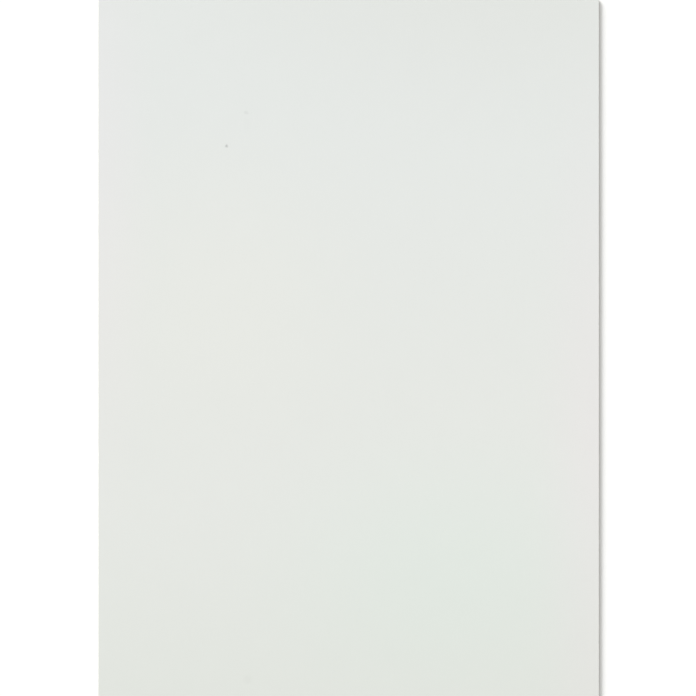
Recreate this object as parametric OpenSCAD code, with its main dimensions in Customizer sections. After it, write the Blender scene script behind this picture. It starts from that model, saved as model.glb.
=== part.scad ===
// Multipurpose building board: one flat sheet of mineral board with square edges.
// It lies face up. X runs across the board, Y along it and Z up through its
// thickness, and the origin is the middle of the back face, which it rests on.

/* [Board] */
// Width across the short side
board_width = 1200; // [300:10:1250]
// Length along the long side
board_length = 2400; // [600:10:3050]
// Thickness from the back face to the front face
board_thickness = 9; // [6:0.5:25]

/* [Eased edges] */
// Set-back of the broken edge all round the smooth front face
front_ease = 0.5; // [0.1:0.1:2]
// Set-back of the broken edge all round the sanded back face
back_ease = 0.3; // [0.1:0.1:2]
// Set-back of the broken edge down each of the four corners
corner_ease = 0.8; // [0.1:0.1:3]

/* [Hidden] */
mineral_white = [0.90, 0.91, 0.895];

// Outline of a w by h rectangle that stands on the X axis, with its two lower
// corners cut at 45 degrees by low and its two upper corners by high.
function eased_rectangle(w, h, low, high) = [
    [-w / 2 + low, 0],
    [w / 2 - low, 0],
    [w / 2, low],
    [w / 2, h - high],
    [w / 2 - high, h],
    [-w / 2 + high, h],
    [-w / 2, h - high],
    [-w / 2, low],
];

// Section through the thickness of a board that is span wide.
module edge_section(span) {
    polygon(eased_rectangle(span, board_thickness, back_ease, front_ease));
}

// A bar of that section, length long and centred on the origin, along Y.
module section_bar(span, length) {
    translate([0, length / 2, 0])
        rotate([90, 0, 0])
            linear_extrude(length)
                edge_section(span);
}

// The board seen from above, as thick as the board, with its corners broken.
module plan_slab() {
    translate([0, -board_length / 2, 0])
        linear_extrude(board_thickness)
            polygon(eased_rectangle(board_width, board_length, corner_ease, corner_ease));
}

// The whole board: what the two sections and the plan have in common.
module board() {
    color(mineral_white)
        intersection() {
            section_bar(board_width, board_length);
            rotate([0, 0, 90])
                section_bar(board_length, board_width);
            plan_slab();
        }
}

board();
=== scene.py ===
"""Looks of the multipurpose building board: the real surface of its face, edges and back.

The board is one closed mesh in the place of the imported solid. Its front face is smooth, its
back is sanded, and its four edges are sawn square, with broken arrises. Lengths are in
metres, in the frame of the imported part.
"""

import math

import bpy
import numpy as np
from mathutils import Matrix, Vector, noise
from mathutils.geometry import delaunay_2d_cdt


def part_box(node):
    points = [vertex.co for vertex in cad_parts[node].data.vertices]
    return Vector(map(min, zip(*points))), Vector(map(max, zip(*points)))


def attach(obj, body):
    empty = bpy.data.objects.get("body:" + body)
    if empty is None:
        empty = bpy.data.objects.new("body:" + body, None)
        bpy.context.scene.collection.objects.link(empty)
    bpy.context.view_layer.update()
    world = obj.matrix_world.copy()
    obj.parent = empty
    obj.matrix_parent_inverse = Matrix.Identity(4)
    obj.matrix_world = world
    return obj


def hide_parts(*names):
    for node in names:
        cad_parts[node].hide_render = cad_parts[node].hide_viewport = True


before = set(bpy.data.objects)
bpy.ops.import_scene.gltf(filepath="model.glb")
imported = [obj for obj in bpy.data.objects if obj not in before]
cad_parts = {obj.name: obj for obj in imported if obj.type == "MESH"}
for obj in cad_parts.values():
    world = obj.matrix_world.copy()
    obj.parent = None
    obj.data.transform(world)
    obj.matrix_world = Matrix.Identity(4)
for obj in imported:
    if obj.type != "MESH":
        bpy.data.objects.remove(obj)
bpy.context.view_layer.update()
HALF_WIDTH, HALF_LENGTH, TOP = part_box("board")[1]
HALF_PLAN = np.array([HALF_WIDTH, HALF_LENGTH])
MM = 0.001

# Camera: straight above, with the head edge of the board along the top of the picture
VIEW_SPAN = 1.390 * 2 * HALF_WIDTH  # what the picture takes in, across
VIEW_SHIFT = -1.7 * MM  # of the picture's middle from the board's, across
VIEW_TRIM = 1.4 * MM  # of the head edge that the picture's top cuts off
VIEW_DEPTH = 200.0  # as far as the camera sees
LENS = 200.0  # in millimetres, on a sensor this wide:
SENSOR = 36.0

# Light, as a share of the level that shows a white surface as white. The lamps stand at the
# upper left of the picture.
LAMP_TURN = math.radians(38)  # from behind the head edge, towards the left
LAMPS = (  # name, height above the horizon and angle across in degrees, and level
    ("key", 24, 29, 0.42),
    ("fill", 48, 60, 0.29),
)
SKY_LEVEL = 0.28
UNDER_LEVEL = 0.9  # from under the floor, for the back of the board

# Floor
FLOOR_SIZE = 60.0
FLOOR_GAP = 0.05 * MM  # under the board
FLOOR_LAP = 0.8 * MM  # how far the floor reaches in under the board
FLOOR_BOUNCE = 0.45  # of the light, sent back to the board
FLOOR_WHITE = 0.88  # of the light, shown as the background
FLOOR_LIFT = 0.175  # level that the background shows besides, also where the shadow is
FLOOR_TINT = (1.0, 1.0, 0.91)  # of that level, which warms the shadow

# Sections round the edge of the board
STATION = 2.0 * MM  # between neighbouring sections
CORNER_RADIUS = 1.0 * MM  # of each corner in plan
CORNER_STEPS = 4
BORDER = 3.0 * MM  # how far the sections reach in over each face
SUPPORT = 0.15 * MM  # width of the flat ring beside an arris
ARRIS_STEPS = 4
EDGE_ROWS = 8

# Wear of the arrises, as a set-back from the square edge, and relief of the sawn edges
FRONT_EASE = 0.40 * MM
BACK_EASE = 0.30 * MM
EASE_DRIFT = 0.10 * MM
NICK_LENGTH = 5.0 * MM
NICK_DEPTH = 0.30 * MM
CHIP_SEED = 11
FRONT_CHIPS = 46  # in all, round the board
BACK_CHIPS = 80
CHIP_LENGTHS = (1.5 * MM, 7.0 * MM)  # the shortest and the longest
CHIP_DEPTHS = (0.15 * MM, 0.75 * MM)
SAW_DEPTH = 0.09 * MM

# Points of each face inside that border
FIRST_INSET = 6.0 * MM
WIDEST_SPACING = 48.0 * MM
PIT_POINTS = 12  # round each circle of a pit
PIT_CIRCLES = 9
PIT_START = 0.25  # radius of the first circle, as a share of the pit's
PIT_GROWTH = 1.5  # from one circle to the next
KEEP_INSIDE = 1  # asks delaunay_2d_cdt for the triangles inside the outline
CLOSEST = 1e-7  # distance at which it joins two points

# Marks on the front face
SPECK = Vector((-0.2924, 0.8486, TOP))
SPECK_RADIUS = 3.8 * MM
SPECK_DEPTH = 0.15 * MM
STAINS = (  # middle, half sizes across and along the board, and how much darker
    (SPECK, (1.3 * MM, 1.5 * MM), 0.170),
    (SPECK, (4.1 * MM, 4.4 * MM), 0.210),
    (Vector((-0.2460, 0.9287, TOP)), (6.0 * MM, 4.4 * MM), 0.065),
    (Vector((-0.2452, 0.9000, TOP)), (7.5 * MM, 20.0 * MM), 0.009),
    (Vector((-0.2426, -0.4296, TOP)), (11.5 * MM, 12.0 * MM), 0.026),
)

# Kinds of surface, which number the material slots
FRONT, BACK, EDGE = range(3)

# Colours. The front face runs from one tone at its head to another at its foot, with wide
# soft patches over it. Besides casts of its own colour, this is painted light falloff: darker
# towards the foot and at the top right, and lighter at the middle left.
HEAD_TONE = (0.792, 0.818, 0.794)
MIDDLE_TONE = (0.795, 0.813, 0.776)
FOOT_TONE_AND_SHADE = (0.758, 0.784, 0.735)
HEAD_RANGE = (0.09, 1.09)  # of y, from the middle tone to the head's
FOOT_RANGE = (0.07, -0.62)
# Wide soft patches of colour cast and of painted light and shade: darker at the top right, lighter at
# the middle left
PATCHES_OF_TONE_AND_SHADE = (  # middle, half sizes across and along the board, and tone as a share of the rest's
    (Vector((-0.31, 0.51, TOP)), (0.47, 0.48), (1.019, 1.012, 1.001)),
    (Vector((0.24, -0.16, TOP)), (0.60, 0.43), (0.971, 1.008, 0.991)),
    (Vector((0.40, 1.35, TOP)), (1.10, 0.58), (0.968, 0.962, 0.950)),
    (Vector((-HALF_WIDTH, 0.75, TOP)), (0.16, 1.00), (1.025, 1.001, 1.017)),
    (Vector((HALF_WIDTH, 0.0, TOP)), (0.18, 1.40), (1.024, 0.989, 1.012)),
)
WHITE = (1.0, 1.0, 1.0)
BACK_TONES = ((0.735, 0.740, 0.700), (0.705, 0.710, 0.670))
EDGE_TONES = ((0.640, 0.632, 0.580), (0.585, 0.576, 0.525))

# Finish
BULK = (0.3, 0.7)  # range that holds the bulk of a noise
FACE_BUMP = 0.03 * MM
BACK_BUMP = 0.04 * MM
EDGE_BUMP = 0.06 * MM
SPECULAR = 0.25

# Map for textures: the two faces side by side, and the edges in three strips beside them
MAP_SCALE = 0.4  # of the map's side, to a metre
MAP_GAP = 0.002
STRIP_WIDTH = (1 - 4 * HALF_WIDTH * MAP_SCALE - 6 * MAP_GAP) / 3


# ---------------------------------------------------------------- mesh of the board


def spaced(corners, spacing):
    """A closed outline through these corners, with points no further apart than spacing."""
    points = []
    for start, end in zip(corners, np.roll(corners, -1, axis=0)):
        steps = max(1, math.ceil(np.linalg.norm(end - start) / spacing))
        points += [start + (end - start) * step / steps for step in range(steps)]
    return np.array(points)


def rectangle(half, spacing=math.inf):
    """The outline of a rectangle with these half sizes, anticlockwise from above."""
    return spaced(np.array([(1, -1), (1, 1), (-1, 1), (-1, -1)]) * half, spacing)


def board_outline():
    """The outline of the board with its rounded corners, anticlockwise from above."""
    corners = []
    for turn, signs in enumerate([(1, 1), (-1, 1), (-1, -1), (1, -1)]):
        centre = np.array(signs) * (HALF_PLAN - CORNER_RADIUS)
        for step in range(CORNER_STEPS + 1):
            angle = math.pi / 2 * (turn + step / CORNER_STEPS)
            corners.append(centre + CORNER_RADIUS * np.array([math.cos(angle), math.sin(angle)]))
    return spaced(np.array(corners), STATION)


def waves(points, length, layer=0.0):
    """Smooth noise from -1 to 1 at each point of an outline, with features of about this length.

    Layers less than about 1 apart are alike, and others are patterns of their own.
    """
    return np.array([noise.noise(Vector((x / length, y / length, layer))) for x, y in points])


def worn_ease(points, ease, chips, seed):
    """Set-back of an arris at each station: its ease, a slow drift, fine nicks and longer chips."""
    drift = waves(points, 60 * MM, seed) + 0.5 * waves(points, 9 * MM, seed)
    nicks = np.clip(2 * waves(points, NICK_LENGTH, seed + 0.5) - 0.5, 0, 1)
    worn = ease + EASE_DRIFT * drift
    worn += NICK_DEPTH * nicks
    around = np.concatenate([[0], np.cumsum(np.linalg.norm(np.diff(points, axis=0), axis=1))])
    random = np.random.default_rng(seed)
    for _ in range(chips):
        middle = random.uniform(0, around[-1])
        half = random.uniform(*CHIP_LENGTHS) / 2
        depth = CHIP_DEPTHS[0] + (CHIP_DEPTHS[1] - CHIP_DEPTHS[0]) * random.random() ** 3
        worn += depth * np.maximum(0, 1 - ((around - middle) / half) ** 2)
    return worn


def saw_relief(points, height):
    """How far the sawn edge lies behind its true plane, at each station of one height."""
    drift = waves(points, 140 * MM)
    layers = waves(points, 400 * MM, height / (0.8 * MM))
    grain = waves(points, 3 * MM, height / (1.5 * MM))
    return SAW_DEPTH * np.clip(0.45 + 0.35 * drift + 0.3 * layers + 0.25 * grain, 0, 1.2)


def edge_rings(points):
    """Inset and height of each ring of the sections, from the front face's border to the back's."""
    flat = np.zeros(len(points))
    front = worn_ease(points, FRONT_EASE, FRONT_CHIPS, CHIP_SEED)
    back = worn_ease(points, BACK_EASE, BACK_CHIPS, CHIP_SEED + 1)
    turns = [math.pi / 2 * step / ARRIS_STEPS for step in range(ARRIS_STEPS + 1)]
    rows = [row / EDGE_ROWS for row in range(1, EDGE_ROWS)]
    edge = [(front * (1 - math.sin(turn)), TOP - front * (1 - math.cos(turn))) for turn in turns[1:]]
    edge += [(flat, (TOP - front) * (1 - row) + back * row) for row in rows]
    edge += [(back * (1 - math.cos(turn)), back * (1 - math.sin(turn))) for turn in turns[:-1]]
    edge = [(inset + saw_relief(points, height.mean()), height) for inset, height in edge]
    front_rim = [(flat + BORDER, flat + TOP), (front + SUPPORT, flat + TOP), (front, flat + TOP)]
    back_rim = [(back, flat), (back + SUPPORT, flat), (flat + BORDER, flat)]
    return front_rim + edge + back_rim


def face_points(pits=()):
    """Points of one face inside its border: outlines that grow wider apart inwards.

    Each pit, given by its centre and radius, has circles of points round it instead.
    """
    outlines, inset = [], FIRST_INSET
    while inset < HALF_WIDTH:
        spacing = min(inset, WIDEST_SPACING)
        outlines.append(rectangle(HALF_PLAN - inset, spacing))
        inset += spacing
    points = np.concatenate(outlines)
    turns = np.arange(PIT_POINTS) * 2 * math.pi / PIT_POINTS
    circle = np.stack([np.cos(turns), np.sin(turns)], 1)
    for centre, radius in pits:
        radii = radius * PIT_START * PIT_GROWTH ** np.arange(PIT_CIRCLES)
        clear = np.linalg.norm(points - centre, axis=1) > radii[-1] * PIT_GROWTH
        points = np.concatenate([points[clear], [centre], *[centre + r * circle for r in radii]])
    return points


def fill_face(border, inside):
    """Triangles over one face. Their points are numbered through the border and then inside it."""
    count = len(border)
    outline = [(i, (i + 1) % count) for i in range(count)]
    points = [Vector(point) for point in np.concatenate([border, inside])]
    made = delaunay_2d_cdt(points, outline, [], KEEP_INSIDE, CLOSEST)
    vertices, _, triangles, origins, _, _ = made
    assert len(vertices) == len(points), "two points of a face lie in one place"
    return np.array([[origins[i][0] for i in triangle] for triangle in triangles])


def speck_depth(points):
    """Depth of the small pit at the speck."""
    far = np.linalg.norm(points - np.array(SPECK.xy), axis=1) / SPECK_RADIUS
    return SPECK_DEPTH * np.clip(1 - far, 0, 1) ** 1.5


def read_all(items, name, kind=float, width=1):
    """One property of all vertices, loops or faces, with a row for each."""
    values = np.zeros(len(items) * width, kind)
    items.foreach_get(name, values)
    return values.reshape(-1, width)


def lay_map(mesh, kinds, across):
    """Lays the mesh on the map: a rectangle for each face, and strips for the edges.

    The first vertices are those of the rings, which lie this far across their strip.
    """
    sizes = read_all(mesh.polygons, "loop_total", int)[:, 0]
    vertices = read_all(mesh.loops, "vertex_index", int)[:, 0]
    x, y, _ = read_all(mesh.vertices, "co", width=3)[vertices].T
    normal_x, normal_y, _ = read_all(mesh.polygons, "normal", width=3).repeat(sizes, axis=0).T
    kinds = np.repeat(kinds, sizes)
    across = np.append(across, np.zeros(len(mesh.vertices) - len(across)))[vertices]

    u = MAP_GAP + (x + HALF_WIDTH) * MAP_SCALE
    v = MAP_GAP + (y + HALF_LENGTH) * MAP_SCALE
    face_width = 2 * HALF_WIDTH * MAP_SCALE + MAP_GAP
    u[kinds == BACK] += face_width

    # Each long edge has a strip of its own, and the two ends share one, the head above the foot
    edge = kinds == EDGE
    long_side = np.abs(normal_x) > np.abs(normal_y)
    strip = np.where(long_side, normal_x < 0, 2)
    strip_start = 2 * face_width + MAP_GAP + strip * (STRIP_WIDTH + MAP_GAP)
    u[edge] = (strip_start + across * STRIP_WIDTH)[edge]
    ends = edge & ~long_side
    end_start = (normal_y > 0) * HALF_LENGTH
    v[ends] = (MAP_GAP + (x + HALF_WIDTH + end_start) * MAP_SCALE)[ends]

    layer = mesh.uv_layers.new(name="OFBake")  # the name of a map that the export keeps
    layer.uv.foreach_set("vector", np.column_stack([u, v]).astype(np.float32).ravel())


def join_rings(rings, stations):
    """Faces between neighbouring rings, and the kind of each, for so many rings of so many points."""
    here = np.arange(stations)
    after = (here + 1) % stations
    faces = []
    for ring in range(rings - 1):
        near = ring * stations
        far = near + stations
        faces += np.column_stack([near + here, far + here, far + after, near + after]).tolist()
    kinds = [FRONT] + [EDGE] * (rings - 3) + [BACK]
    return faces, np.repeat(kinds, stations).tolist()


def make_board():
    """The whole board as one closed mesh, with each face numbered for the material of its kind of
    surface.
    """
    base = board_outline()
    count = len(base)
    inward = -np.clip(base / (HALF_PLAN - CORNER_RADIUS), -1, 1)
    rings = []
    for inset, height in edge_rings(base):
        rings.append(np.column_stack([base + inset[:, None] * inward, height]))
    front = face_points([(np.array(SPECK.xy), SPECK_RADIUS)])
    back = face_points()
    faces, kinds = join_rings(len(rings), count)
    first = len(rings) * count
    for kind, ring, inside in ((FRONT, 0, front), (BACK, len(rings) - 1, back)):
        numbers = np.concatenate([ring * count + np.arange(count), first + np.arange(len(inside))])
        triangles = numbers[fill_face(rings[ring][:, :2], inside)]
        faces += (triangles if kind == FRONT else triangles[:, ::-1]).tolist()
        kinds += [kind] * len(triangles)
        first += len(inside)
    front = np.column_stack([front, TOP - speck_depth(front)])
    back = np.pad(back, ((0, 0), (0, 1)))
    mesh = bpy.data.meshes.new("building_board")
    mesh.from_pydata(np.concatenate([*rings, front, back]), [], faces)
    mesh.polygons.foreach_set("material_index", kinds)
    mesh.polygons.foreach_set("use_smooth", [True] * len(faces))
    mesh.update()
    lay_map(mesh, kinds, np.repeat(np.linspace(0, 1, len(rings)), count))
    board = bpy.data.objects.new("building_board", mesh)
    bpy.context.scene.collection.objects.link(board)
    return board


# ---------------------------------------------------------------- materials


class Nodes:
    """The nodes of a material or a world. Each call adds some and returns an output socket."""

    def __init__(self, owner):
        owner.use_nodes = True
        self.nodes = owner.node_tree.nodes
        self.links = owner.node_tree.links

    def connect(self, value, socket):
        """Links another node's output to a socket, or sets the socket to a number or a colour."""
        if isinstance(value, bpy.types.NodeSocket):
            self.links.new(value, socket)
        elif socket.type == "RGBA":
            socket.default_value = (*value, 1)
        else:
            socket.default_value = value

    def add(self, kind, inputs=None, output=0, **settings):
        """Adds a node of this kind, with a value or a socket for each of its inputs named here."""
        node = self.nodes.new("ShaderNode" + kind)
        for name, value in settings.items():
            setattr(node, name, value)
        for name, value in (inputs or {}).items():
            self.connect(value, node.inputs[name])
        return node.outputs[output]

    def place(self):
        """Where a point of the board is, in metres."""
        return self.add("TexCoord", output="Object")

    def scaled(self, factors, centre=(0, 0, 0)):
        """That place from a centre, with each direction multiplied by its factor."""
        moved = self.add("VectorMath", {0: self.place(), 1: centre}, operation="SUBTRACT")
        return self.add("VectorMath", {0: moved, 1: factors}, operation="MULTIPLY")

    def distance(self, centre, half_sizes):
        """Distance from the middle of a mark, as a share of its half sizes across and along."""
        across, along = half_sizes
        near = self.scaled((1 / across, 1 / along, 1 / across), centre)
        return self.add("VectorMath", {0: near}, output="Value", operation="LENGTH")

    def noise(self, scale, detail=2.0, where=None):
        """Smooth noise with features of 1 / scale, in metres unless the place is scaled too."""
        return self.add("TexNoise", {"Vector": where or self.place(), "Scale": scale, "Detail": detail})

    def remap(self, value, low, high, to_low=0.0, to_high=1.0, smooth=False):
        """Takes a range of values to another one. What lies outside it stops at its ends."""
        names = ("Value", "From Min", "From Max", "To Min", "To Max")
        inputs = dict(zip(names, (value, low, high, to_low, to_high)))
        return self.add("MapRange", inputs, interpolation_type="SMOOTHSTEP" if smooth else "LINEAR")

    def spread(self, pattern, low, high):
        """The bulk of a noise, spread from low to high."""
        return self.remap(pattern, *BULK, low, high)

    def maths(self, operation, first, second=0.0, clamp=False):
        return self.add("Math", {0: first, 1: second}, operation=operation, use_clamp=clamp)

    def mix(self, factor, first, second):
        """Between two colours."""
        return self.add("Mix", {0: factor, 6: first, 7: second}, output=2, data_type="RGBA")

    def darken(self, colour, amount):
        """The colour times 1 less the amount."""
        left = self.maths("SUBTRACT", 1.0, amount)
        return self.add("VectorMath", {0: colour, "Scale": left}, operation="SCALE")

    def vary(self, colour, pattern, share):
        """The colour, darker and lighter by up to this share with a noise."""
        return self.darken(colour, self.spread(pattern, -share, share))

    def seen_directly(self):
        """1 for the rays that show the background: the camera's, and those from gloss or glass."""
        kinds = ("Is Camera Ray", "Is Glossy Ray", "Is Transmission Ray")
        camera, glossy, through = [self.add("LightPath", output=kind) for kind in kinds]
        return self.maths("ADD", self.maths("ADD", camera, glossy), through, clamp=True)


def new_material(name):
    material = bpy.data.materials.new(name)
    return material, Nodes(material)


def matt_surface(nodes, colour, roughness, height, depth):
    """Joins patterns to the shader. The height runs from 0 to 1, and depth is what 1 stands for."""
    shader = nodes.nodes["Principled BSDF"]
    bump = nodes.add("Bump", {"Height": height, "Distance": depth, "Strength": 1.0})
    for name, value in (("Base Color", colour), ("Roughness", roughness), ("Normal", bump)):
        nodes.connect(value, shader.inputs[name])
    shader.inputs["Specular IOR Level"].default_value = SPECULAR


def face_tone_and_painted_falloff(nodes):
    """Tone of the front face, which drifts slowly along it and has wide soft patches: casts of its own
    colour together with painted light falloff, darker towards the foot and the top right.
    """
    y = nodes.add("SeparateXYZ", {0: nodes.place()}, output=1)
    colour = nodes.mix(nodes.remap(y, *HEAD_RANGE, smooth=True), MIDDLE_TONE, HEAD_TONE)
    colour = nodes.mix(nodes.remap(y, *FOOT_RANGE, smooth=True), colour, FOOT_TONE_AND_SHADE)
    for centre, half_sizes, share in PATCHES_OF_TONE_AND_SHADE:
        inside = nodes.remap(nodes.distance(centre, half_sizes), 0.0, 1.0, 1.0, 0.0, smooth=True)
        tint = nodes.mix(inside, WHITE, share)
        colour = nodes.add("VectorMath", {0: colour, 1: tint}, operation="MULTIPLY")
    return colour


def stained(nodes, colour):
    """The colour with the few small marks of the front face, which have ragged rims."""
    ragged = nodes.remap(nodes.noise(400), 0.2, 0.8, -0.35, 0.35)
    for centre, half_sizes, dark in STAINS:
        far = nodes.maths("ADD", nodes.distance(centre, half_sizes), ragged)
        colour = nodes.darken(colour, nodes.remap(far, 0.5, 1.25, dark, 0.0, smooth=True))
    return colour


def smooth_face():
    """The smooth front face, with a fine grain, faint scuffs along the board and a few pinholes, which
    are darkened with painted shade.
    """
    material, nodes = new_material("smooth_face")
    mottle = nodes.noise(14, detail=4)
    grain = nodes.noise(1300, detail=3)
    scuffs = nodes.noise(1, detail=4, where=nodes.scaled((700, 9, 1), (0.23, 0.41, 0.0)))
    pinholes_and_their_shade = nodes.remap(nodes.noise(800, detail=1), 0.74, 0.78)
    colour = nodes.vary(face_tone_and_painted_falloff(nodes), mottle, 0.0015)
    colour = nodes.vary(colour, grain, 0.012)
    colour = nodes.vary(colour, scuffs, 0.003)
    # Painted shade: the pinholes are darker in colour as well as sunk by the bump
    colour = nodes.darken(colour, nodes.maths("MULTIPLY", pinholes_and_their_shade, 0.10))
    colour = stained(nodes, colour)
    roughness = nodes.spread(mottle, 0.80, 0.88)
    height = nodes.maths("ADD", grain, nodes.maths("MULTIPLY", scuffs, 0.5))
    height = nodes.maths("SUBTRACT", height, pinholes_and_their_shade)
    matt_surface(nodes, colour, roughness, height, FACE_BUMP)
    return material


def sanded_back():
    """The sanded back face, with fine streaks along the board and a few pores, which are darkened with
    painted shade.
    """
    material, nodes = new_material("sanded_back")
    streaks = nodes.noise(1, detail=5, where=nodes.scaled((600, 4, 1), (0.31, 0.17, 0.37)))
    pores_and_their_shade = nodes.remap(nodes.noise(700, detail=1), 0.70, 0.76)
    colour = nodes.mix(nodes.remap(streaks, 0.35, 0.65), *BACK_TONES)
    colour = nodes.vary(colour, nodes.noise(9, detail=4), 0.01)
    # Painted shade: the pores are darker in colour as well as sunk by the bump
    colour = nodes.darken(colour, nodes.maths("MULTIPLY", pores_and_their_shade, 0.12))
    roughness = nodes.spread(streaks, 0.84, 0.92)
    matt_surface(nodes, colour, roughness, nodes.maths("SUBTRACT", streaks, pores_and_their_shade), BACK_BUMP)
    return material


def sawn_edge():
    """The sawn edges: thin layers that run along them, crossed by faint saw marks, and pores, which are
    darkened with painted shade.
    """
    material, nodes = new_material("sawn_edge")
    layers = nodes.noise(1, detail=3, where=nodes.scaled((7, 7, 1300)))
    marks = nodes.noise(1, detail=2, where=nodes.scaled((500, 500, 40)))
    grain = nodes.noise(1800, detail=2)
    pores_and_their_shade = nodes.remap(grain, 0.66, 0.74)
    colour = nodes.mix(nodes.remap(layers, 0.35, 0.65), *EDGE_TONES)
    colour = nodes.vary(colour, grain, 0.03)
    # Painted shade: the pores are darker in colour as well as sunk by the bump
    colour = nodes.darken(colour, nodes.maths("MULTIPLY", pores_and_their_shade, 0.15))
    roughness = nodes.spread(grain, 0.88, 0.96)
    height = nodes.maths("ADD", layers, nodes.maths("MULTIPLY", marks, 0.4))
    height = nodes.maths("ADD", height, nodes.maths("MULTIPLY", grain, 0.6))
    matt_surface(nodes, colour, roughness, nodes.maths("SUBTRACT", height, pores_and_their_shade), EDGE_BUMP)
    return material


# ---------------------------------------------------------------- stage


def place_camera():
    """Looks straight down on the board through a long lens."""
    data = bpy.data.cameras.new("camera")
    data.lens = LENS
    data.sensor_width = SENSOR
    data.clip_end = VIEW_DEPTH
    camera = bpy.data.objects.new("camera", data)
    y = HALF_LENGTH - VIEW_TRIM - VIEW_SPAN / 2
    camera.location = (VIEW_SHIFT, y, TOP + VIEW_SPAN * LENS / SENSOR)
    bpy.context.scene.collection.objects.link(camera)
    bpy.context.scene.camera = camera


def hang_lamps():
    """Soft distant lamps, each as strong as its level on the floor asks."""
    for name, height, across, level in LAMPS:
        height = math.radians(height)
        light = bpy.data.lights.new(name, "SUN")
        light.angle = math.radians(across)
        light.energy = math.pi * level / math.sin(height)
        lamp = bpy.data.objects.new(name, light)
        lamp.rotation_euler = (math.pi / 2 - height, 0, LAMP_TURN + math.pi)
        bpy.context.scene.collection.objects.link(lamp)


def make_sky():
    """A dim even sky that shows as white, and a brighter one under the floor."""
    world = bpy.data.worlds.new("sky")
    bpy.context.scene.world = world
    nodes = Nodes(world)
    height = nodes.add("SeparateXYZ", {0: nodes.add("TexCoord", output="Generated")}, output=2)
    below = nodes.maths("LESS_THAN", height, 0.0)
    level = nodes.remap(below, 0.0, 1.0, SKY_LEVEL, UNDER_LEVEL)
    strength = nodes.remap(nodes.seen_directly(), 0.0, 1.0, level, 1.0)
    background = nodes.nodes["Background"]
    nodes.connect(WHITE, background.inputs["Color"])
    nodes.connect(strength, background.inputs["Strength"])


def floor_material():
    """White to the camera and greyer to the board, and clear from below."""
    material, nodes = new_material("floor")
    seen = nodes.seen_directly()
    paint = nodes.mix(seen, (FLOOR_BOUNCE,) * 3, (FLOOR_WHITE,) * 3)
    lift = nodes.maths("MULTIPLY", seen, FLOOR_LIFT)
    glow = nodes.add("Emission", {"Color": FLOOR_TINT, "Strength": lift})
    surface = nodes.add("AddShader", {0: nodes.add("BsdfDiffuse", {"Color": paint}), 1: glow})
    under = nodes.add("NewGeometry", output="Backfacing")
    surface = nodes.add("MixShader", {0: under, 1: surface, 2: nodes.add("BsdfTransparent")})
    nodes.connect(surface, nodes.nodes["Material Output"].inputs["Surface"])
    return material


def lay_floor():
    """A white floor that keeps the board's soft shadow, and is open under the board."""
    opening = rectangle(HALF_PLAN - FLOOR_LAP)
    rim = rectangle(np.full(2, FLOOR_SIZE / 2))
    quads = [(i, i + 4, (i + 1) % 4 + 4, (i + 1) % 4) for i in range(4)]
    mesh = bpy.data.meshes.new("floor")
    mesh.from_pydata([(x, y, -FLOOR_GAP) for x, y in np.concatenate([opening, rim])], [], quads)
    mesh.materials.append(floor_material())
    floor = bpy.data.objects.new("floor", mesh)
    bpy.context.scene.collection.objects.link(floor)


place_camera()
hang_lamps()
make_sky()
lay_floor()
bpy.context.scene.view_settings.view_transform = "Standard"

board = make_board()
for material in (smooth_face(), sanded_back(), sawn_edge()):
    board.data.materials.append(material)
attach(board, "root")
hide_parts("board")
